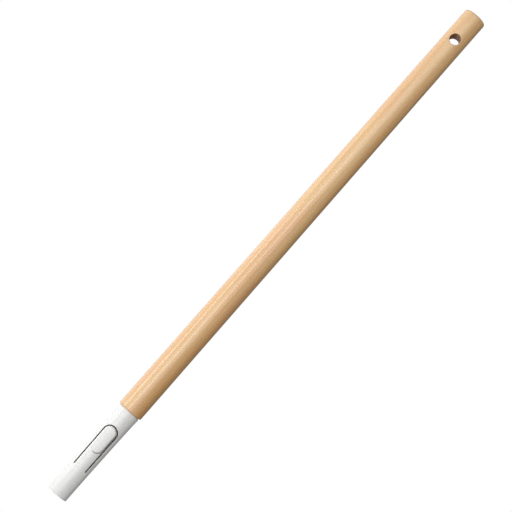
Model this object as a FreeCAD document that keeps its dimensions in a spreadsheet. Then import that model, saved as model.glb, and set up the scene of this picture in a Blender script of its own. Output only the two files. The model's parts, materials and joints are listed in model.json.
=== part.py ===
"""Wooden extension pole with a snap-in connector, as a parametric FreeCAD document.

The pole is a turned wooden shaft with a hanging hole at its far end. A moulded connector is
pressed and glued into the other end and held by a wood screw. A tongue with a raised thumb pad
is cut free from the connector's front wall: it snaps into the window of a tool head's sleeve.

Frame: +Z runs along the pole from the connector's mouth (z = 0, the origin) to the hanging end.
The thumb pad and the hanging hole face -Y. Units are millimetres.
"""

import FreeCAD, Part
import Sketcher
import os

doc = FreeCAD.newDocument("extension_pole")

# ---------------------------------------------------------------- driving dimensions
SIZES = {
    # wooden shaft
    "pole_length": 482.0,
    "pole_foot_dia": 25.0,
    "pole_top_dia": 22.7,
    "pole_top_round": 2.0,
    "pole_foot_round": 0.8,
    "hanging_hole_dia": 10.5,
    "hanging_hole_inset": 30.5,
    "hanging_hole_round": 0.8,
    # connector, outside: a tool head's sleeve slides over it and ends flush with the wood
    "sleeve_wall": 2.4,
    "tip_length": 98.8,
    "land_length": 31.3,
    "taper_rise": 0.5,
    "flare_length": 20.0,
    "neck_step": 1.3,
    "mouth_round": 0.5,
    # connector, inside
    "tip_wall": 2.2,
    "web_thickness": 3.0,
    "web_slope": 2.0,
    # tongue and thumb pad
    "tongue_width": 12.3,
    "slot_width": 1.2,
    "slot_head_inset": 18.7,
    "root_gap": 0.2,
    "thumb_pad_length": 27.9,
    "thumb_pad_margin": 0.5,
    "thumb_pad_rise": 1.9,
    "thumb_pad_round": 1.2,
    "thumb_foot_round": 0.5,
    # shank in the wood
    "shank_dia": 15.0,
    "shank_length": 35.0,
    "shank_gap": 0.1,
    "shank_end_gap": 0.5,
    "bulkhead_thickness": 4.0,
    "rib_height": 0.3,
    "rib_width": 1.2,
    "rib_count": 6,
    "rib_root": 0.8,
    "glue_groove_width": 2.0,
    "glue_groove_depth": 0.6,
    "glue_groove_pitch": 7.0,
    "glue_groove_count": 4,
    # wood screw and washer
    "screw_dia": 4.0,
    "screw_root_dia": 2.8,
    "screw_length": 40.0,
    "screw_head_dia": 7.4,
    "screw_head_height": 2.6,
    "screw_head_chamfer": 0.9,
    "screw_point_length": 5.0,
    "screw_plain_length": 8.0,
    "screw_hole_clearance": 0.2,
    "thread_pitch": 1.6,
    "thread_root_width": 0.5,
    "thread_mouth_width": 1.4,
    "recess_width": 1.2,
    "recess_span": 4.2,
    "recess_depth": 1.6,
    "washer_margin": 0.4,
    "washer_clearance": 0.3,
    "washer_thickness": 0.8,
}

sheet = doc.addObject("Spreadsheet::Sheet", "Sizes")
for row, (alias, value) in enumerate(SIZES.items(), start=1):
    sheet.set(f"A{row}", alias)
    sheet.set(f"B{row}", str(value))
    sheet.setAlias(f"B{row}", alias)
doc.recompute()

# Places that several pieces share, each worked out from the sheet. In an expression, {name} is
# one of these or a cell of the sheet.
DERIVED = {
    "foot": "{tip_length}",
    "top": "{tip_length} + {pole_length}",
    "hole_height": "{top} - {hanging_hole_inset}",
    "tip_radius": "{pole_foot_dia} / 2 - {sleeve_wall}",
    "taper_radius": "{tip_radius} + {taper_rise}",
    "neck_radius": "{pole_foot_dia} / 2 - {neck_step}",
    "bore_radius": "{tip_radius} - {tip_wall}",
    "flare_start": "{foot} - {flare_length}",
    "tongue_half": "{tongue_width} / 2",
    "window_half": "{tongue_half} + {slot_width}",
    "window_head": "{foot} - {slot_head_inset}",
    "window_arc": "{window_head} - {window_half}",
    "root": "{land_length} + {slot_width} / 2",
    "pad_radius": "{tip_radius} + {thumb_pad_rise}",
    "pad_half": "{tongue_half} - {thumb_pad_margin}",
    "pad_foot_arc": "{window_arc} + 2 * {pad_half} - {thumb_pad_length}",
    "shank_radius": "{shank_dia} / 2",
    "shank_end": "{foot} + {shank_length}",
    "seat": "{shank_end} - {bulkhead_thickness}",
    "screw_seat": "{seat} - {washer_thickness}",
    "screw_tip": "{screw_seat} + {screw_length}",
    "screw_hole_radius": "{screw_dia} / 2 + {screw_hole_clearance}",
    "washer_radius": "{screw_head_dia} / 2 + {washer_margin}",
    "core_radius": "{washer_radius} + {washer_clearance}",
    "beyond": "2 * {pole_foot_dia}",
}


def expand(text):
    """The expression with every {name} written out in cells of the sheet."""
    while "{" in text:
        name = text[text.index("{") + 1 : text.index("}")]
        if name in DERIVED:
            text = text.replace("{" + name + "}", "(" + DERIVED[name] + ")")
        else:
            text = text.replace("{" + name + "}", "Sizes." + name)
    return text


def value(text):
    """The number that an expression has now."""
    cell = doc.getObject("Sizes")
    return float(FreeCAD.Units.Quantity(cell.evalExpression(expand(text))))


# ---------------------------------------------------------------- sketch and feature helpers
NEAR = 1e-3  # two lengths this close are taken as equal


def make_body(name):
    body = doc.addObject("PartDesign::Body", name)
    body.Label = name
    return body


def plane(body, role):
    return next(o for o in body.Origin.OriginFeatures if o.Role == role)


def new_sketch(body, name, role="XZ_Plane", height=None):
    """A sketch on one of the body's origin planes, raised along its normal by an expression."""
    sketch = body.newObject("Sketcher::SketchObject", name)
    sketch.AttachmentSupport = [(plane(body, role), "")]
    sketch.MapMode = "FlatFace"
    if height:
        sketch.setExpression("AttachmentOffset.Base.z", expand(height))
    return sketch


def drive(sketch, kind, *where, expression):
    """A dimension in the sketch whose value is an expression on the sheet."""
    index = sketch.addConstraint(Sketcher.Constraint(kind, *where, value(expression)))
    sketch.setExpression(f"Constraints[{index}]", expand(expression))


def outline(sketch, corners, arcs=None):
    """A closed outline through corners, each a pair of expressions.

    arcs maps the index of a corner to how the side that starts there bends: ("tangent",) leaves
    it tangent to the side before, and ("centre", x, z) puts its centre on that height.
    """
    arcs = arcs or {}
    points = [FreeCAD.Vector(value(x), value(z), 0) for x, z in corners]
    count = len(corners)
    for i, start in enumerate(points):
        end = points[(i + 1) % count]
        if i not in arcs:
            sketch.addGeometry(Part.LineSegment(start, end))
        elif arcs[i][0] == "tangent":
            along = (start - points[i - 1]).normalize()
            chord = end - start
            normal = FreeCAD.Vector(-along.y, along.x, 0)
            radius = chord.Length**2 / (2 * chord.dot(normal))
            centre = start + normal * radius
            middle = (start + end) / 2 - centre
            bulge = centre + middle.normalize() * abs(radius)
            sketch.addGeometry(Part.Arc(start, bulge, end))
        else:
            centre = FreeCAD.Vector(value(arcs[i][1]), value(arcs[i][2]), 0)
            along = end - start
            outward = FreeCAD.Vector(along.y, -along.x, 0).normalize()
            sketch.addGeometry(Part.Arc(start, centre + outward * (start - centre).Length, end))
    for i, (x, z) in enumerate(corners):
        before, here = point_ids(sketch, i - 1, points[i]), point_ids(sketch, i, points[i])
        joint = "Tangent" if arcs.get(i) == ("tangent",) else "Coincident"
        sketch.addConstraint(Sketcher.Constraint(joint, (i - 1) % count, before, i, here))
        drive(sketch, "DistanceX", -1, 1, i, here, expression=x)
        drive(sketch, "DistanceY", -1, 1, i, here, expression=z)
    for i, bend in arcs.items():
        if bend[0] == "centre":
            drive(sketch, "DistanceY", -1, 1, i, 3, expression=bend[2])


def point_ids(sketch, side, point):
    """Which end of that side lies on the point: 1 for its start and 2 for its end."""
    side %= sketch.GeometryCount
    start = sketch.getPoint(side, 1)
    end = sketch.getPoint(side, 2)
    return 1 if start.distanceToPoint(point) <= end.distanceToPoint(point) else 2


def circle(sketch, diameter, x="0", y="0"):
    centre = FreeCAD.Vector(value(x), value(y), 0)
    normal = FreeCAD.Vector(0, 0, 1)
    index = sketch.addGeometry(Part.Circle(centre, normal, value(diameter) / 2))
    drive(sketch, "DistanceX", -1, 1, index, 3, expression=x)
    drive(sketch, "DistanceY", -1, 1, index, 3, expression=y)
    drive(sketch, "Diameter", index, expression=diameter)


def add_feature(body, kind, name, sketch, **settings):
    """A feature made from a sketch. A text setting is an expression on the sheet."""
    feature = body.newObject("PartDesign::" + kind, name)
    feature.Profile = sketch
    if kind in ("Revolution", "Groove"):
        feature.ReferenceAxis = (sketch, ["V_Axis"])
        feature.Angle = 360
    for key, setting in settings.items():
        if isinstance(setting, str):
            feature.setExpression(key, expand(setting))
        else:
            setattr(feature, key, setting)
    sketch.Visibility = False
    doc.recompute()
    return feature


def turn(body, name, corners, arcs=None):
    sketch = new_sketch(body, name + "_profile")
    outline(sketch, corners, arcs)
    return add_feature(body, "Revolution", name, sketch)


def cut(body, name, sketch, **settings):
    """A pocket, which fails if it removes nothing."""
    before = body.Shape.Volume
    confirm_cut(name, before, add_feature(body, "Pocket", name, sketch, **settings))


def cut_round(body, name, corners):
    """A groove turned about Z, which fails if it removes nothing."""
    before = body.Shape.Volume
    sketch = new_sketch(body, name + "_profile")
    outline(sketch, corners)
    groove = add_feature(body, "Groove", name, sketch)
    confirm_cut(name, before, groove)
    return groove


def confirm_cut(name, before, feature):
    if not feature.Shape.Volume < before - NEAR:
        raise RuntimeError(f"{name} removes nothing")


def repeat_upwards(body, name, groove, count, pitch):
    """Copies of a turned groove along Z, at that pitch."""
    copies = body.newObject("PartDesign::LinearPattern", name)
    copies.Originals = [groove]
    copies.Direction = (groove.Profile[0], ["V_Axis"])
    copies.Mode = "Spacing"
    copies.setExpression("Occurrences", expand(count))
    copies.setExpression("Offset", expand(pitch))
    body.Tip = copies
    doc.recompute()


def dress(body, kind, name, chosen, **settings):
    """A fillet or chamfer on the edges that chosen accepts."""
    tip = body.Tip
    edges = [f"Edge{i}" for i, e in enumerate(tip.Shape.Edges, start=1) if chosen(e)]
    if not edges:
        raise RuntimeError(f"{name} finds no edge")
    feature = body.newObject("PartDesign::" + kind, name)
    feature.Base = (tip, edges)
    for key, setting in settings.items():
        feature.setExpression(key, expand(setting))
    doc.recompute()
    return feature


def ring_at(height, radius):
    """Chooses the full circle about Z with that height and radius, both expressions."""
    high, wide = value(height), value(radius)

    def chosen(edge):
        box = edge.BoundBox
        at_height = abs(box.ZMin - high) < NEAR and abs(box.ZMax - high) < NEAR
        return at_height and abs(box.XMax - wide) < NEAR and abs(box.XMin + wide) < NEAR

    return chosen


def distance_from_axis(point):
    return (point.x**2 + point.y**2) ** 0.5


def samples(edge, count=7):
    """Points spread evenly along the edge."""
    first, span = edge.FirstParameter, edge.LastParameter - edge.FirstParameter
    return [edge.valueAt(first + span * k / (count - 1)) for k in range(count)]


# ---------------------------------------------------------------- wooden shaft
def build_pole_shaft():
    body = make_body("pole_shaft")
    turn(body, "rod", [
        ("0", "{foot}"),
        ("{pole_foot_dia} / 2", "{foot}"),
        ("{pole_top_dia} / 2", "{top}"),
        ("0", "{top}"),
    ])
    bore_end_grain(body, "shank_bore", "{shank_dia} + 2 * {shank_gap}", "{shank_length} + {shank_end_gap}")
    bore_end_grain(body, "pilot_hole", "{screw_root_dia}", "{screw_tip} - {foot} + {thread_pitch}")
    hole = new_sketch(body, "hanging_hole_plan")
    circle(hole, "{hanging_hole_dia}", y="{hole_height}")
    cut(body, "hanging_hole", hole, Midplane=True, Length="{beyond}")
    dress(body, "Fillet", "top_round", ring_at("{top}", "{pole_top_dia} / 2"), Radius="{pole_top_round}")
    dress(body, "Fillet", "foot_round", ring_at("{foot}", "{pole_foot_dia} / 2"),
          Radius="{pole_foot_round}")
    height, radius = value("{hole_height}"), value("{hanging_hole_dia} / 2")

    def hole_rim(edge):
        points = samples(edge)
        on_wall = all(abs(((p.z - height) ** 2 + p.x**2) ** 0.5 - radius) < NEAR for p in points)
        return on_wall and all(abs(p.y) > radius for p in points)

    dress(body, "Fillet", "hanging_hole_round", hole_rim, Radius="{hanging_hole_round}")
    return body


def bore_end_grain(body, name, diameter, depth):
    """A blind hole drilled up the axis from the shaft's foot."""
    plan = new_sketch(body, name + "_plan", "XY_Plane", "{foot}")
    circle(plan, diameter)
    cut(body, name, plan, Reversed=True, Length=depth)


# ---------------------------------------------------------------- moulded connector
def build_connector_body():
    body = make_body("connector_body")
    turn(body, "outside", [
        ("0", "0"),
        ("{tip_radius}", "0"),
        ("{tip_radius}", "{land_length}"),
        ("{taper_radius}", "{flare_start}"),
        ("{neck_radius}", "{foot}"),
        ("{shank_radius}", "{foot}"),
        ("{shank_radius}", "{shank_end}"),
        ("0", "{shank_end}"),
    ], arcs={3: ("tangent",)})
    cut_round(body, "bore", [
        ("0", "0"),
        ("{bore_radius}", "0"),
        ("{bore_radius}", "{foot} - {web_thickness}"),
        ("{core_radius}", "{foot} - {web_thickness} + {web_slope}"),
        ("{core_radius}", "{seat}"),
        ("{screw_hole_radius}", "{seat}"),
        ("{screw_hole_radius}", "{shank_end}"),
        ("0", "{shank_end}"),
    ])
    add_shank_grip(body)
    cut_tongue_window(body)
    dress(body, "Fillet", "mouth_outer_round", ring_at("0", "{tip_radius}"), Radius="{mouth_round}")
    dress(body, "Fillet", "mouth_inner_round", ring_at("0", "{bore_radius}"), Radius="{mouth_round}")
    return body


def add_shank_grip(body):
    """Crush ribs along the shank that stop it turning, and rings that hold the glue."""
    floor = "{shank_radius} - {glue_groove_depth}"
    low = "{foot} + {glue_groove_pitch} - {glue_groove_width} / 2"
    high = "{foot} + {glue_groove_pitch} + {glue_groove_width} / 2"
    groove = cut_round(body, "glue_groove", [
        (floor, low),
        ("{neck_radius}", low),
        ("{neck_radius}", high),
        (floor, high),
    ])
    repeat_upwards(body, "glue_grooves", groove, "{glue_groove_count}", "{glue_groove_pitch}")
    plan = new_sketch(body, "rib_plan", "XY_Plane", "{foot}")
    outline(plan, [
        ("{shank_radius} - {rib_root}", "-{rib_width} / 2"),
        ("{shank_radius} + {rib_height}", "-{rib_width} / 2"),
        ("{shank_radius} + {rib_height}", "{rib_width} / 2"),
        ("{shank_radius} - {rib_root}", "{rib_width} / 2"),
    ])
    rib = add_feature(body, "Pad", "crush_rib", plan, Length="{shank_length} - {rib_width}")
    ribs = body.newObject("PartDesign::PolarPattern", "crush_ribs")
    ribs.Originals = [rib]
    ribs.Axis = (plan, ["N_Axis"])
    ribs.Angle = 360
    ribs.setExpression("Occurrences", expand("{rib_count}"))
    body.Tip = ribs
    doc.recompute()


def cut_tongue_window(body):
    """The opening in the front wall that leaves room for the tongue and the slot around it."""
    plan = new_sketch(body, "window_plan")
    slot_middle = "({tongue_half} + {slot_width} / 2)"
    outline(plan, [
        ("-{window_half}", "{root}"),
        ("-{tongue_half}", "{root}"),
        ("{tongue_half}", "{root}"),
        ("{window_half}", "{root}"),
        ("{window_half}", "{window_arc}"),
        ("-{window_half}", "{window_arc}"),
    ], arcs={
        0: ("centre", "-" + slot_middle, "{root}"),
        2: ("centre", slot_middle, "{root}"),
        4: ("centre", "0", "{window_arc}"),
    })
    cut(body, "tongue_window", plan, Reversed=True, Length="{beyond}")


# ---------------------------------------------------------------- tongue with the thumb pad
def build_release_tongue():
    body = make_body("release_tongue")
    rounded_strip(body, "strip", "{tongue_half}", "{root} + {root_gap}", None)
    slope = "{taper_rise} / ({flare_start} - {land_length})"
    cut_round(body, "strip_face", [
        ("{tip_radius}", "0"),
        ("{tip_radius}", "{land_length}"),
        ("{taper_radius} + {flare_length} * " + slope, "{foot}"),
        ("{beyond}", "{foot}"),
        ("{beyond}", "0"),
    ])
    rounded_strip(body, "thumb_pad", "{pad_half}", "{pad_foot_arc}", "{pad_foot_arc}")
    cut_round(body, "thumb_face", [
        ("{pad_radius}", "0"),
        ("{beyond}", "0"),
        ("{beyond}", "{foot}"),
        ("{pad_radius}", "{foot}"),
    ])
    cut_round(body, "inside_face", [
        ("0", "0"),
        ("{bore_radius}", "0"),
        ("{bore_radius}", "{foot}"),
        ("0", "{foot}"),
    ])
    face_radius, wall_radius = value("{pad_radius}"), value("{tip_radius}")
    arc, half = value("{pad_foot_arc}"), value("{pad_half}")

    def thumb_edge(edge):
        return all(abs(distance_from_axis(p) - face_radius) < NEAR for p in samples(edge))

    def foot_edge(edge):
        points = samples(edge)
        on_foot = all(abs((p.x**2 + (p.z - arc) ** 2) ** 0.5 - half) < NEAR for p in points)
        outside = all(distance_from_axis(p) > wall_radius - NEAR for p in points)
        return on_foot and outside and edge.BoundBox.XLength > half

    dress(body, "Fillet", "thumb_pad_round", thumb_edge, Radius="{thumb_pad_round}")
    dress(body, "Fillet", "thumb_foot_round", foot_edge, Radius="{thumb_foot_round}")
    return body


def rounded_strip(body, name, half, start, start_arc):
    """A strip of that half width, rounded at the head and, if start_arc is given, at its start."""
    plan = new_sketch(body, name + "_plan")
    arcs = {2: ("centre", "0", "{window_arc}")}
    if start_arc:
        arcs[0] = ("centre", "0", start_arc)
    outline(plan, [
        ("-" + half, start),
        (half, start),
        (half, "{window_arc}"),
        ("-" + half, "{window_arc}"),
    ], arcs)
    add_feature(body, "Pad", name, plan, Length="{pole_foot_dia}")


# ---------------------------------------------------------------- screw and washer
def build_fixing_screw():
    body = make_body("fixing_screw")
    head = "{screw_seat} - {screw_head_height}"
    turn(body, "blank", [
        ("0", head),
        ("{screw_head_dia} / 2 - {screw_head_chamfer}", head),
        ("{screw_head_dia} / 2", head + " + {screw_head_chamfer}"),
        ("{screw_head_dia} / 2", "{screw_seat}"),
        ("{screw_dia} / 2", "{screw_seat}"),
        ("{screw_dia} / 2", "{screw_tip} - {screw_point_length}"),
        ("0", "{screw_tip}"),
    ])
    middle = "{screw_seat} + {screw_plain_length} + {thread_pitch} / 2"
    crest = "{screw_head_dia} / 2"
    slope = "({thread_mouth_width} - {thread_root_width}) / ({screw_dia} - {screw_root_dia})"
    mouth = "({thread_root_width} / 2 + (" + crest + " - {screw_root_dia} / 2) * " + slope + ")"
    groove = cut_round(body, "thread_groove", [
        ("{screw_root_dia} / 2", middle + " - {thread_root_width} / 2"),
        (crest, middle + " - " + mouth),
        (crest, middle + " + " + mouth),
        ("{screw_root_dia} / 2", middle + " + {thread_root_width} / 2"),
    ])
    threaded = "({screw_length} - {screw_plain_length} - {screw_point_length})"
    repeat_upwards(body, "thread", groove, "floor(" + threaded + " / {thread_pitch})", "{thread_pitch}")
    for name, along, across in (("recess_a", "{recess_span}", "{recess_width}"),
                                ("recess_b", "{recess_width}", "{recess_span}")):
        plan = new_sketch(body, name + "_plan", "XY_Plane", head)
        x, y = along + " / 2", across + " / 2"
        outline(plan, [("-" + x, "-" + y), (x, "-" + y), (x, y), ("-" + x, y)])
        cut(body, name, plan, Reversed=True, Length="{recess_depth}")
    return body


def build_screw_washer():
    body = make_body("screw_washer")
    turn(body, "ring", [
        ("{screw_hole_radius}", "{screw_seat}"),
        ("{washer_radius}", "{screw_seat}"),
        ("{washer_radius}", "{seat}"),
        ("{screw_hole_radius}", "{seat}"),
    ])
    return body


# ---------------------------------------------------------------- build, check and write
def check_document():
    for item in doc.Objects:
        if "Invalid" in item.State or "Error" in item.State:
            raise RuntimeError(f"{item.Label} failed: {item.State}")


def write(bodies):
    os.makedirs("parts", exist_ok=True)
    for body in bodies:
        shape = body.Shape
        if shape.isNull() or not shape.isValid() or len(shape.Solids) != 1:
            raise RuntimeError(f"{body.Label} is not one valid solid")
        shape.exportStep(f"parts/{body.Label}.step")
        box = shape.optimalBoundingBox()
        print(f"{body.Label}: {box.XLength:.1f} x {box.YLength:.1f} x {box.ZLength:.1f} mm, "
              f"{shape.Volume / 1000:.2f} cm3")


pieces = [
    build_pole_shaft(),
    build_connector_body(),
    build_release_tongue(),
    build_fixing_screw(),
    build_screw_washer(),
]
doc.recompute()
check_document()
write(pieces)
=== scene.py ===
"""Looks of the wooden extension pole with its snap-in connector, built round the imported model.

Metres, +Z up the pole from the connector's mouth; the thumb pad and the hanging hole face -Y.
"""

import json
import math

import bmesh
import bpy
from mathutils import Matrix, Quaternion, Vector


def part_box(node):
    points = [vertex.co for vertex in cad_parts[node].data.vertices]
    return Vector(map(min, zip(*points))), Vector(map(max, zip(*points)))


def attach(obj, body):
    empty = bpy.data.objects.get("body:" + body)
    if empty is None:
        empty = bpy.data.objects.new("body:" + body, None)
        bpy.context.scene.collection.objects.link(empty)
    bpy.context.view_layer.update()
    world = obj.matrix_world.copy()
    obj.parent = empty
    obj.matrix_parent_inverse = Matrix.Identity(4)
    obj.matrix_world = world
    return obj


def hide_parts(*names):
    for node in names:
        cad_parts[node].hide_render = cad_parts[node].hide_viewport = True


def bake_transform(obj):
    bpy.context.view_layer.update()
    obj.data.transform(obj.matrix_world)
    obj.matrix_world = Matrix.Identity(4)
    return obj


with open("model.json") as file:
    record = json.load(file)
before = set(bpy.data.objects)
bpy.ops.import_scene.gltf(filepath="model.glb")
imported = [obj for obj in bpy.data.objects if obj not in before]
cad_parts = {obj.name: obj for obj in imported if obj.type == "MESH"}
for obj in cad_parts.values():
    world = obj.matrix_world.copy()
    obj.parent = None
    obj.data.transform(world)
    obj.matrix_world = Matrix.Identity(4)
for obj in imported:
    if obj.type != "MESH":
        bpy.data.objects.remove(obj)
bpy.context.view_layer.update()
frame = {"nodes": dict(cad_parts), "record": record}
mounts = {mount["name"]: mount for mount in frame["record"]["mounts"]}
MM = 0.001


# ---- Turned pole -------------------------------------------------------------------------
# One length of straight-grained beech, turned to a slight taper and sealed with satin lacquer.
# A hole for a hook is drilled near the free end and all its edges are eased with sandpaper.

NEAR, SAME = 0.01 * MM, 0.001 * MM
SIDES = 128
low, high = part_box("pole_shaft")
FOOT, TOP = low.z, high.z
FOOT_RADIUS, TOP_RADIUS = 12.5 * MM, 11.35 * MM
FOOT_EASE, TOP_EASE, HOLE_EASE = 0.9 * MM, 2.0 * MM, 0.8 * MM
END_RING = 0.4 * MM
hole = mounts["hanging_hole"]
HOLE_HEIGHT = hole["pos_m"][2]
HOLE_RADIUS = hole["dims"]["r_mm"] * MM
PATCH = 8.0 * MM
PATCH_ROWS = SIDES // 4
PATCH_ANGLE = math.pi / 4 + math.pi / SIDES
SHANK_BORE, SHANK_DEPTH = 7.6 * MM, 35.5 * MM
PILOT, PILOT_DEPTH = 1.4 * MM, 36.3 * MM


def choose(piece, kind, test):
    """In edit mode, selects just the piece's verts, edges or faces that pass the test."""
    bpy.context.tool_settings.mesh_select_mode = [kind == k for k in ("verts", "edges", "faces")]
    bpy.ops.mesh.select_all(action="DESELECT")
    for element in getattr(bmesh.from_edit_mesh(piece.data), kind):
        if test(element):
            element.select_set(True)
    bmesh.update_edit_mesh(piece.data)


def slice_across(piece, axis, places):
    """Cuts all the piece's faces with planes across that axis."""
    for place in places:
        choose(piece, "faces", lambda face: True)
        bpy.ops.mesh.bisect(plane_co=Vector(axis) * place, plane_no=axis)


def all_at(element, test):
    """Whether all the verts of an edge or a face pass the test."""
    return all(test(vert.co) for vert in element.verts)


def middle(element):
    """The mean place of an edge's or a face's verts."""
    return sum((vert.co for vert in element.verts), Vector()) / len(element.verts)


def near(length, target, limit=NEAR):
    """Whether two lengths differ by less than the limit."""
    return abs(length - target) < limit


def edit(piece):
    """Opens just this piece in edit mode."""
    bpy.ops.object.select_all(action="DESELECT")
    piece.select_set(True)
    bpy.context.view_layer.objects.active = piece
    bpy.ops.object.mode_set(mode="EDIT")


def close_edit(piece, name, smooth_under=35):
    """Names the piece, smooths what bends gently and leaves its object at the origin."""
    bpy.ops.mesh.select_all(action="SELECT")
    bpy.ops.mesh.remove_doubles(threshold=SAME)
    bpy.ops.mesh.normals_make_consistent(inside=False)
    bpy.ops.object.mode_set(mode="OBJECT")
    bpy.ops.object.shade_smooth_by_angle(angle=math.radians(smooth_under))
    bpy.ops.object.transform_apply(location=True, rotation=True, scale=True)
    piece.name = piece.data.name = name


class Socket:
    """A shader value that takes part in Python arithmetic."""

    def __init__(self, tree, link):
        self.tree = tree
        self.link = link

    def node(self, kind, inputs, out=0, **settings):
        """A new node: its settings first, then the values or links of its sockets."""
        made = self.tree.nodes.new(kind)
        for name, setting in settings.items():
            setattr(made, name, setting)
        for name, given in inputs.items():
            if isinstance(given, Socket):
                self.tree.links.new(given.link, made.inputs[name])
            else:
                made.inputs[name].default_value = given
        return Socket(self.tree, made.outputs[out])

    def math(self, operation, *others):
        inputs = dict(enumerate((self, *others)))
        return self.node("ShaderNodeMath", inputs, operation=operation)

    def __add__(self, other):
        return self.math("ADD", other)

    def __mul__(self, other):
        return self.math("MULTIPLY", other)

    def __sub__(self, other):
        return self.math("SUBTRACT", other)

    def __rsub__(self, other):
        return self.node("ShaderNodeMath", {0: other, 1: self}, operation="SUBTRACT")

    def __pow__(self, other):
        return self.math("POWER", other)

    __radd__ = __add__
    __rmul__ = __mul__

    def between(self, low, high):
        """0 up to low, 1 from high on, and a smooth rise between."""
        return self.node("ShaderNodeMapRange", {"Value": self, "From Min": low, "From Max": high},
                         interpolation_type="SMOOTHSTEP")

    def stretched(self, scale):
        """These coordinates, scaled along each axis."""
        return self.node("ShaderNodeVectorMath", {0: self, 1: scale}, operation="MULTIPLY")

    def noise(self, scale, detail=2.0, distortion=0.0):
        """A cloudy pattern of values from 0 to 1 at these coordinates."""
        inputs = {"Vector": self, "Scale": scale, "Detail": detail, "Distortion": distortion}
        return self.node("ShaderNodeTexNoise", inputs)

    def part(self, axis):
        """One of these coordinates: X, Y or Z."""
        return self.node("ShaderNodeSeparateXYZ", {0: self}, out="XYZ".index(axis))

    def mix(self, first, second, blend="MIX"):
        """first where this value is 0, second, or the two blended, where it is 1."""
        inputs = {0: self, 6: first, 7: second}
        return self.node("ShaderNodeMix", inputs, out=2, data_type="RGBA", blend_type=blend)


def finish_of(name):
    """A new material: its object coordinates as a Socket, and its shader's inputs."""
    material = bpy.data.materials.new(name)
    material.use_nodes = True
    tree = material.node_tree
    shader = tree.nodes["Principled BSDF"]
    place = Socket(tree, tree.nodes.new("ShaderNodeTexCoord").outputs["Object"])
    return material, place, shader.inputs


def feed(socket, inputs, name):
    """Links a Socket to one of the shader's inputs."""
    socket.tree.links.new(socket.link, inputs[name])


def lacquered_beech():
    """Straight grain along Z, with year rings on the end grain, painted shade on the unlacquered wall of
    the hole and painted shade darkening the +X side.
    """
    material, place, inputs = finish_of("lacquered_beech")
    straw, honey, rose = (0.86, 0.585, 0.32, 1), (0.795, 0.485, 0.235, 1), (0.84, 0.505, 0.305, 1)
    pore, ring, hole_shade = (0.48, 0.23, 0.08, 1), (0.60, 0.33, 0.14, 1), (0.40, 0.20, 0.075, 1)
    side_shade, side_shade_from, side_shade_to = (0.91, 0.785, 0.545, 1), 1 * MM, 13.2 * MM
    pith_x, pith_y, year_width = -7 * MM, 5 * MM, 1.7 * MM
    end_from, end_to = TOP - 0.6 * MM, TOP - 0.1 * MM
    hole_shade_width = 0.5 * MM

    along = place.stretched((1, 1, 0.035))
    colour = along.noise(150, distortion=0.3).between(0.38, 0.64).mix(straw, honey)
    colour = (along.noise(300, detail=1).between(0.48, 0.66) * 0.6).mix(colour, rose)
    pores = place.stretched((1, 1, 0.05)).noise(1100, detail=1).between(0.62, 0.76)
    colour = (pores * 0.16).mix(colour, pore)
    across, depth, height = place.part("X"), place.part("Y"), place.part("Z")
    # Painted shade: the +X side, away from the key light, is multiplied darker and warmer.
    colour = across.between(side_shade_from, side_shade_to).mix(colour, side_shade, blend="MULTIPLY")

    from_pith = ((across - pith_x) ** 2 + (depth - pith_y) ** 2) ** 0.5
    turns = from_pith * (2 * math.pi / year_width) + along.noise(90) * 5
    year = turns.math("SINE").between(0.2, 1)
    colour = (year * height.between(end_from, end_to) * 0.6).mix(colour, ring)
    # Painted shade: the wall of the hole is coloured dark brown, as if in shadow.
    from_hole = (across * across + (height - HOLE_HEIGHT) ** 2) ** 0.5
    in_hole = 1 - from_hole.between(HOLE_RADIUS, HOLE_RADIUS + hole_shade_width)
    colour = (in_hole * 0.85).mix(colour, hole_shade)

    feed(colour, inputs, "Base Color")
    inputs["Roughness"].default_value = 0.5
    inputs["Specular IOR Level"].default_value = 0.1
    feed((1 - in_hole) * 0.9, inputs, "Coat Weight")
    inputs["Coat Roughness"].default_value = 0.19
    inputs["Coat IOR"].default_value = 1.5
    bump = {"Height": 1 - pores, "Strength": 0.06, "Distance": 0.02 * MM}
    feed(pores.node("ShaderNodeBump", bump), inputs, "Normal")
    return material


def pole_radius(z):
    """The pole's radius at this height."""
    return FOOT_RADIUS + (TOP_RADIUS - FOOT_RADIUS) * (z - FOOT) / (TOP - FOOT)


def in_patch(point):
    """Whether a point of the pole is in one of the two square patches that hold the hole."""
    return (abs(point.z - HOLE_HEIGHT) < PATCH
            and abs(math.atan2(point.x, abs(point.y))) < PATCH_ANGLE)


def on_rim(point):
    """Whether a point is where the hole breaks through the pole's side."""
    return (near(math.hypot(point.x, point.z - HOLE_HEIGHT), HOLE_RADIUS)
            and near(math.hypot(point.x, point.y), pole_radius(point.z)))


def choose_end(z):
    """Selects the pole's flat end face at this height."""
    choose(pole, "faces", lambda face: len(face.verts) == SIDES and near(middle(face).z, z))


bpy.ops.object.select_all(action="DESELECT")
bpy.ops.mesh.primitive_cone_add(vertices=SIDES, radius1=FOOT_RADIUS, radius2=TOP_RADIUS,
                                depth=TOP - FOOT, location=(0, 0, (FOOT + TOP) / 2))
pole = bpy.context.object
bpy.ops.object.transform_apply(location=True)
edit(pole)
slice_across(pole, (0, 0, 1),
             [HOLE_HEIGHT + PATCH * (2 * k / PATCH_ROWS - 1) for k in range(PATCH_ROWS + 1)])
choose(pole, "faces", lambda face: in_patch(middle(face)))
bpy.ops.mesh.delete(type="FACE")
for side in (-1, 1):
    bpy.ops.mesh.primitive_circle_add(vertices=SIDES, radius=HOLE_RADIUS, rotation=(math.pi / 2, 0, 0),
                                      location=(0, side * pole_radius(HOLE_HEIGHT), HOLE_HEIGHT))
    choose(pole, "edges", lambda edge: middle(edge).y * side > 0 and len(edge.link_faces) < 2)
    bpy.ops.mesh.bridge_edge_loops(number_cuts=2)
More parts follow.
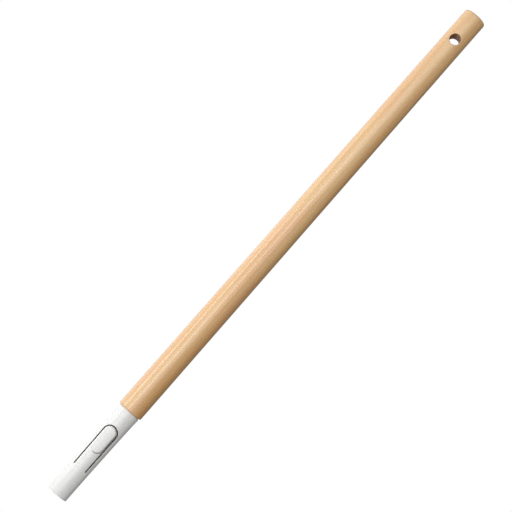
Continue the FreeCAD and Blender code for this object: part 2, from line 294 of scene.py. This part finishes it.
for vert in bmesh.from_edit_mesh(pole.data).verts:
    if in_patch(vert.co):
        away = math.sqrt(pole_radius(vert.co.z) ** 2 - vert.co.x ** 2)
        vert.co.y = math.copysign(away, vert.co.y)
choose(pole, "edges", lambda edge: len(edge.link_faces) == 1)
bpy.ops.mesh.bridge_edge_loops(number_cuts=8)
choose(pole, "edges", lambda edge: all_at(edge, on_rim))
bpy.ops.mesh.bevel(offset=HOLE_EASE, segments=5)
choose(pole, "edges", lambda edge: all_at(edge, lambda point: near(point.z, TOP)))
bpy.ops.mesh.bevel(offset=TOP_EASE, segments=8)
choose(pole, "edges", lambda edge: all_at(edge, lambda point: near(point.z, FOOT)))
bpy.ops.mesh.bevel(offset=FOOT_EASE, segments=5)
choose_end(TOP)
bpy.ops.mesh.inset(thickness=END_RING)
choose_end(FOOT)
bpy.ops.mesh.inset(thickness=END_RING)
bpy.ops.mesh.inset(thickness=FOOT_RADIUS - FOOT_EASE - END_RING - SHANK_BORE)
bpy.ops.mesh.extrude_region_move(TRANSFORM_OT_translate={"value": (0, 0, SHANK_DEPTH)})
bpy.ops.mesh.inset(thickness=SHANK_BORE - PILOT)
bpy.ops.mesh.extrude_region_move(TRANSFORM_OT_translate={"value": (0, 0, PILOT_DEPTH)})
close_edit(pole, "turned_pole")
pole.data.materials.append(lacquered_beech())
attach(pole, "handle")
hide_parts("pole_shaft")


# ---- Connector ---------------------------------------------------------------------------
# A tube moulded in white resin, with a solid-ended shank pressed and glued into the pole. The
# mould's side core leaves a U-shaped slot in its front wall, which frees the tongue.

TIP_RADIUS = mounts["connector_tip"]["dims"]["r_mm"] * MM
BORE_RADIUS = mounts["connector_mouth"]["dims"]["r_mm"] * MM
LAND, FLARE = 31.3 * MM, FOOT - 20.0 * MM
FLARE_ROWS = 14
SLOPE = 0.5 * MM / (FLARE - LAND)
NECK_RADIUS = 11.2 * MM
SHANK_RADIUS, SHANK_END = 7.5 * MM, FOOT + 35 * MM
GLUE_RINGS, RING_PITCH, RING_DEPTH, RING_HALF = 4, 7 * MM, 0.6 * MM, 1 * MM
SEAT, CORE_RADIUS, SCREW_HOLE = FOOT + 31 * MM, 4.4 * MM, 2.2 * MM
CONE_FOOT, CONE_TOP = FOOT - 3 * MM, FOOT - 1 * MM
TONGUE_HALF, SLOT = 6.15 * MM, 1.2 * MM
SLOT_MIDDLE = TONGUE_HALF + SLOT / 2
ROOT = LAND + SLOT / 2
HEAD_ARC = FOOT - 18.7 * MM - SLOT - TONGUE_HALF
ARC_STEPS, SLOT_END_STEPS = 48, 10
SLOT_EASE, MOUTH_EASE = 0.2 * MM, 0.5 * MM
STEP = math.radians(3)
STEEP_STEPS = 16
FRONT = TIP_RADIUS * math.sin(STEEP_STEPS * STEP)
REST_STEPS = round(math.pi / STEP) - STEEP_STEPS
HALF_ROUND = FRONT + REST_STEPS * STEP * TIP_RADIUS
PAD_HALF = TONGUE_HALF - 0.5 * MM
PAD_FOOT_ARC = HEAD_ARC + 2 * PAD_HALF - 27.9 * MM


def satin_resin():
    """White resin, with painted shade down in the slot and round the walls of the pad, fading out towards
    the pad's left.
    """
    material, place, inputs = finish_of("satin_resin")
    cool, warm, shade_colour = (0.870, 0.870, 0.866, 1), (0.885, 0.885, 0.882, 1), (0.30, 0.245, 0.215, 1)
    clean = place.noise(60, detail=3).between(0.3, 0.7).mix(cool, warm)
    across, front, height = place.part("X"), place.part("Y"), place.part("Z")
    outside = (height - LAND) * SLOPE + TIP_RADIUS
    depth = outside - (across * across + front * front) ** 0.5

    # Painted shade: brown-grey on the pad's raised walls, most on its right side, and down the slot's
    # walls, on the front only.
    over = height - height.math("MAXIMUM", PAD_FOOT_ARC).math("MINIMUM", HEAD_ARC)
    off_pad = ((across * across + over * over) ** 0.5 - PAD_HALF).math("ABSOLUTE")
    at_foot = (1 - off_pad.between(0.3 * MM, 1.0 * MM)) * depth.between(-1.3 * MM, -0.1 * MM)
    at_foot = at_foot * across.between(-4 * MM, 3 * MM)
    turn = (height - HEAD_ARC).math("MAXIMUM", 0)
    off_slot = ((across * across + turn * turn) ** 0.5 - SLOT_MIDDLE).math("ABSOLUTE")
    in_slot = (1 - off_slot.between(SLOT * 0.5, SLOT * 0.7)) * depth.between(0.05 * MM, 0.5 * MM)
    in_slot = in_slot * height.between(ROOT - SLOT, ROOT - SLOT / 2)
    painted_shade = (at_foot * 0.75).math("MAXIMUM", in_slot * 0.7) * (1 - front.between(-2 * MM, 0))

    feed(painted_shade.mix(clean, shade_colour), inputs, "Base Color")
    feed(place.noise(400) * 0.04 + 0.34, inputs, "Roughness")
    inputs["IOR"].default_value = 1.5
    return material


def wall_radius(z):
    """Outer radius of the connector: a straight land, a slow taper and a flare to the wood."""
    taper = SLOPE * min(max(z - LAND, 0), FOOT - LAND)
    bow = (NECK_RADIUS - TIP_RADIUS - SLOPE * (FOOT - LAND)) / (FOOT - FLARE) ** 2
    return TIP_RADIUS + taper + bow * max(z - FLARE, 0) ** 2


def wrap(piece):
    """Rolls the flat piece, with the axis at y = 0, round the axis: the front stays square to Y."""
    for vert in bmesh.from_edit_mesh(piece.data).verts:
        across, radius, z = vert.co.x, -vert.co.y, vert.co.z
        reach = max(radius, BORE_RADIUS)
        if abs(across) <= FRONT:
            angle = math.asin(across / reach)
        else:
            share = (abs(across) - FRONT) / (HALF_ROUND - FRONT)
            start = math.asin(FRONT / reach)
            angle = math.copysign(start + (math.pi - start) * share, across)
        if radius > BORE_RADIUS and z < FOOT:
            radius += (wall_radius(z) - TIP_RADIUS) * (radius - BORE_RADIUS) / (TIP_RADIUS - BORE_RADIUS)
        vert.co = Vector((radius * math.sin(angle), -radius * math.cos(angle), z))


def flat_block(outline, direction):
    """A block with this outline, extruded along a direction, its faces pointing outwards."""
    bpy.ops.object.select_all(action="DESELECT")
    bpy.ops.mesh.primitive_circle_add(vertices=len(outline), fill_type="NGON")
    block = bpy.context.object
    for vert, point in zip(block.data.vertices, outline):
        vert.co = point
    edit(block)
    bpy.ops.mesh.select_all(action="SELECT")
    bpy.ops.mesh.extrude_region_move(TRANSFORM_OT_translate={"value": direction})
    bpy.ops.mesh.select_all(action="SELECT")
    bpy.ops.mesh.normals_make_consistent(inside=False)
    bpy.ops.object.mode_set(mode="OBJECT")
    return block


def front_block(outline, inner, outer):
    """A block with an outline in the front plane, between two distances from the axis."""
    return flat_block([point - Vector((0, inner, 0)) for point in outline], (0, inner - outer, 0))


def arc(x, z, radius, start, end, steps):
    """Points on an arc in the front plane, its angles in degrees from +X towards +Z."""
    angles = [math.radians(start + (end - start) * k / steps) for k in range(steps + 1)]
    return [Vector((x + radius * math.cos(angle), 0, z + radius * math.sin(angle))) for angle in angles]


def apply_boolean(piece, other, operation):
    """Cuts the other piece from this one, or joins it on, and removes the other."""
    bpy.ops.object.select_all(action="DESELECT")
    bpy.context.view_layer.objects.active = piece
    piece.select_set(True)
    step = piece.modifiers.new("step", "BOOLEAN")
    step.operation, step.object, step.solver = operation, other, "EXACT"
    bpy.ops.object.modifier_apply(modifier=step.name)
    bpy.data.objects.remove(other)


def off_centre(point):
    """How far a point of the flat front is from the tongue's centre line, which ends at its head."""
    return math.hypot(point.x, max(point.z - HEAD_ARC, 0))


def on_slot(point):
    """Whether a point of the flat front is on the side of the U-shaped slot."""
    return near(math.hypot(off_centre(point) - SLOT_MIDDLE, min(point.z - ROOT, 0)), SLOT / 2)


def on_wall_faces(edge):
    """Whether an edge of the flat wall lies in its outer or in its inner face."""
    return any(all_at(edge, lambda point: near(-point.y, radius)) for radius in (TIP_RADIUS, BORE_RADIUS))


def in_tongue(face):
    """Whether a face of the flat wall belongs to the tongue."""
    spot = middle(face)
    return (spot.z > ROOT and off_centre(spot) < SLOT_MIDDLE
            and BORE_RADIUS - NEAR < -spot.y < TIP_RADIUS + NEAR)


def open_at_root(edge):
    """Whether an edge is on the rim of the gap that the tongue leaves at its root."""
    spot = middle(edge)
    return len(edge.link_faces) == 1 and near(spot.z, ROOT, SAME) and off_centre(spot) < SLOT_MIDDLE


def slice_to_roll(piece):
    """Divides the flat piece into strips, narrow enough to look round once it is rolled."""
    strips = [TIP_RADIUS * math.sin(k * STEP) for k in range(-STEEP_STEPS, STEEP_STEPS + 1)]
    strips += [side * (FRONT + k * STEP * TIP_RADIUS) for side in (-1, 1) for k in range(1, REST_STEPS)]
    slice_across(piece, (1, 0, 0), strips)
    row = (FOOT - FLARE) / FLARE_ROWS
    slice_across(piece, (0, 0, 1), [FOOT - k * row for k in range(1, FLARE_ROWS + 1)])


section = [(BORE_RADIUS, 0), (TIP_RADIUS, 0), (TIP_RADIUS, FOOT), (SHANK_RADIUS, FOOT)]
for k in range(1, GLUE_RINGS + 1):
    ring = FOOT + RING_PITCH * k
    section += [(SHANK_RADIUS, ring - RING_HALF), (SHANK_RADIUS - RING_DEPTH, ring - RING_HALF),
                (SHANK_RADIUS - RING_DEPTH, ring + RING_HALF), (SHANK_RADIUS, ring + RING_HALF)]
section += [(SHANK_RADIUS, SHANK_END), (SCREW_HOLE, SHANK_END), (SCREW_HOLE, SEAT),
            (CORE_RADIUS, SEAT), (CORE_RADIUS, CONE_TOP), (BORE_RADIUS, CONE_FOOT)]
body = flat_block([(-HALF_ROUND, -radius, z) for radius, z in section], (2 * HALF_ROUND, 0, 0))
u_slot = (arc(0, HEAD_ARC, TONGUE_HALF + SLOT, 0, 180, ARC_STEPS)
          + arc(-SLOT_MIDDLE, ROOT, SLOT / 2, 180, 360, SLOT_END_STEPS)
          + arc(0, HEAD_ARC, TONGUE_HALF, 180, 0, ARC_STEPS)
          + arc(SLOT_MIDDLE, ROOT, SLOT / 2, 180, 360, SLOT_END_STEPS))
apply_boolean(body, front_block(u_slot, BORE_RADIUS - 2 * MM, BORE_RADIUS + 6 * MM), "DIFFERENCE")
edit(body)
choose(body, "edges", lambda edge: all_at(edge, on_slot) and on_wall_faces(edge))
bpy.ops.mesh.bevel(offset=SLOT_EASE, segments=3)
choose(body, "edges", lambda edge: all_at(edge, lambda point: near(point.z, 0)) and on_wall_faces(edge))
bpy.ops.mesh.bevel(offset=MOUTH_EASE, segments=4)
choose(body, "faces", lambda face: near(abs(middle(face).x), HALF_ROUND))
bpy.ops.mesh.delete(type="ONLY_FACE")
slice_to_roll(body)
slice_across(body, (0, 0, 1), [ROOT])
choose(body, "faces", in_tongue)
bpy.ops.mesh.delete(type="FACE")
choose(body, "edges", open_at_root)
bpy.ops.mesh.edge_face_add()
wrap(body)
close_edit(body, "connector_shell")
body.data.materials.append(satin_resin())
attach(body, "handle")
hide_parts("connector_body")


# ---- Tongue with its thumb pad ------------------------------------------------------------
# The strip that the slot frees, still one moulding with the tube at its root, so it bends there.
# Its raised pad is pushed with the thumb and snaps into the window of a tool head's sleeve.

PAD_TOP, PAD_SUNK, PAD_EASE = 12.0 * MM, 1 * MM, 1.3 * MM
CROWN = 17.0 * MM
BEND_ROW, BEND_ROWS = 1.5 * MM, 30


def crowned(point):
    """A pad point's new distance from the axis, with the crown flatter than the tube."""
    rise = (-point.y - TIP_RADIUS) / (PAD_TOP - TIP_RADIUS)
    wall = math.sqrt(wall_radius(point.z) ** 2 - point.x ** 2)
    crown = PAD_TOP - CROWN + math.sqrt(CROWN ** 2 - point.x ** 2)
    return wall + (crown - wall) * rise


root_corners = [Vector((-TONGUE_HALF, 0, ROOT)), Vector((TONGUE_HALF, 0, ROOT))]
tongue = front_block(arc(0, HEAD_ARC, TONGUE_HALF, 0, 180, ARC_STEPS) + root_corners,
                     BORE_RADIUS, TIP_RADIUS)
pad = front_block(arc(0, HEAD_ARC, PAD_HALF, 0, 180, ARC_STEPS)
                  + arc(0, PAD_FOOT_ARC, PAD_HALF, 180, 360, ARC_STEPS),
                  TIP_RADIUS - PAD_SUNK, PAD_TOP)
apply_boolean(tongue, pad, "UNION")
edit(tongue)
choose(tongue, "edges", lambda edge: all_at(edge, lambda point: near(-point.y, PAD_TOP)))
bpy.ops.mesh.bevel(offset=PAD_EASE, segments=7)
choose(tongue, "edges", lambda edge: on_slot(middle(edge)) and on_wall_faces(edge))
bpy.ops.mesh.bevel(offset=SLOT_EASE, segments=3)
slice_to_roll(tongue)
slice_across(tongue, (0, 0, 1), [ROOT + k * BEND_ROW for k in range(1, BEND_ROWS + 1)])
raised = {vert.index: crowned(vert.co) for vert in bmesh.from_edit_mesh(tongue.data).verts
          if -vert.co.y > TIP_RADIUS + NEAR}
wrap(tongue)
for vert in bmesh.from_edit_mesh(tongue.data).verts:
    if vert.index in raised:
        vert.co.y = -raised[vert.index]
close_edit(tongue, "thumb_tongue")
tongue.data.materials.append(body.data.materials[0])
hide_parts("release_tongue")
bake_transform(tongue)


# ---- Screw and washer ---------------------------------------------------------------------
# A zinc-plated wood screw and its washer, driven through the shank into the pole's end grain.
# Both are seen only up the connector's bore.

def bright_zinc():
    """Zinc plating with faint spangles, a little duller on the paler ones."""
    material, place, inputs = finish_of("bright_zinc")
    spangle = place.noise(900)
    feed(spangle.mix((0.62, 0.63, 0.65, 1), (0.76, 0.77, 0.78, 1)), inputs, "Base Color")
    feed(spangle * 0.15 + 0.25, inputs, "Roughness")
    inputs["Metallic"].default_value = 1.0
    return material


zinc = bright_zinc()
for name in ("fixing_screw", "screw_washer"):
    node = frame["nodes"][name]
    node.data.materials.clear()
    node.data.materials.append(zinc)


# ---- Studio -------------------------------------------------------------------------------
# A white floor well below the hanging pole, five soft lights, most of their light from the left,
# and the camera.

CAMERA, LENS = Vector((0.1256, -1.6347, 0.1571)), 126.67
YAW, PITCH, ROLL = (math.radians(angle) for angle in (-4.635, 4.295, 41.291))


def softbox(name, bearing, distance, height, width, tall, power):
    """An area light that faces the pole, at a bearing from the front, negative to the left."""
    angle = math.radians(bearing)
    place = Vector((math.sin(angle) * distance, -math.cos(angle) * distance, height))
    bpy.ops.object.light_add(type="AREA", location=place)
    light = bpy.context.object
    light.name = name
    light.rotation_euler = (Vector((0, 0, height)) - place).to_track_quat("-Z", "Y").to_euler()
    light.data.shape = "RECTANGLE"
    light.data.size, light.data.size_y = width, tall
    light.data.energy = power


scene = bpy.context.scene
scene.view_settings.view_transform = "Standard"
world = bpy.data.worlds.new("studio")
scene.world = world
world.use_nodes = True
sky = world.node_tree
fill = sky.nodes["Background"]
fill.inputs["Color"].default_value = (1, 0.99, 0.955, 1)
fill.inputs["Strength"].default_value = 0.25
backdrop = sky.nodes.new("ShaderNodeBackground")
backdrop.inputs["Color"].default_value = (1, 1, 1, 1)
seen = sky.nodes.new("ShaderNodeLightPath")
choice = sky.nodes.new("ShaderNodeMixShader")
sky.links.new(seen.outputs["Is Camera Ray"], choice.inputs[0])
sky.links.new(fill.outputs[0], choice.inputs[1])
sky.links.new(backdrop.outputs[0], choice.inputs[2])
sky.links.new(choice.outputs[0], sky.nodes["World Output"].inputs[0])

bpy.ops.object.select_all(action="DESELECT")
bpy.ops.mesh.primitive_plane_add(size=30, location=(0, 0, -0.25))
floor = bpy.context.object
floor.name = "floor"
white = bpy.data.materials.new("white_floor")
white.use_nodes = True
white.node_tree.nodes.remove(white.node_tree.nodes["Principled BSDF"])
glow = white.node_tree.nodes.new("ShaderNodeEmission")
white.node_tree.links.new(glow.outputs[0], white.node_tree.nodes["Material Output"].inputs[0])
floor.data.materials.append(white)
floor.visible_diffuse = floor.visible_glossy = False

softbox("key", bearing=-106, distance=1.4, height=0.3, width=1.9, tall=1.6, power=12.6)
softbox("key_strip", bearing=-66, distance=1.3, height=-0.05, width=0.28, tall=0.88, power=5.0)
softbox("front", bearing=-10, distance=1.6, height=0.35, width=1.7, tall=1.6, power=14.0)
softbox("front_strip", bearing=-17, distance=1.3, height=0.1, width=0.22, tall=1.0, power=2.9)
softbox("back", bearing=-165, distance=1.6, height=0.35, width=1.2, tall=1.6, power=4.5)

forward = Vector((math.sin(YAW) * math.cos(PITCH), math.cos(YAW) * math.cos(PITCH), math.sin(PITCH)))
camera_data = bpy.data.cameras.new("camera")
camera_data.lens = LENS
camera = bpy.data.objects.new("camera", camera_data)
scene.collection.objects.link(camera)
camera.location = CAMERA
camera.rotation_mode = "QUATERNION"
camera.rotation_quaternion = Quaternion(forward, -ROLL) @ forward.to_track_quat("-Z", "Y")
scene.camera = camera
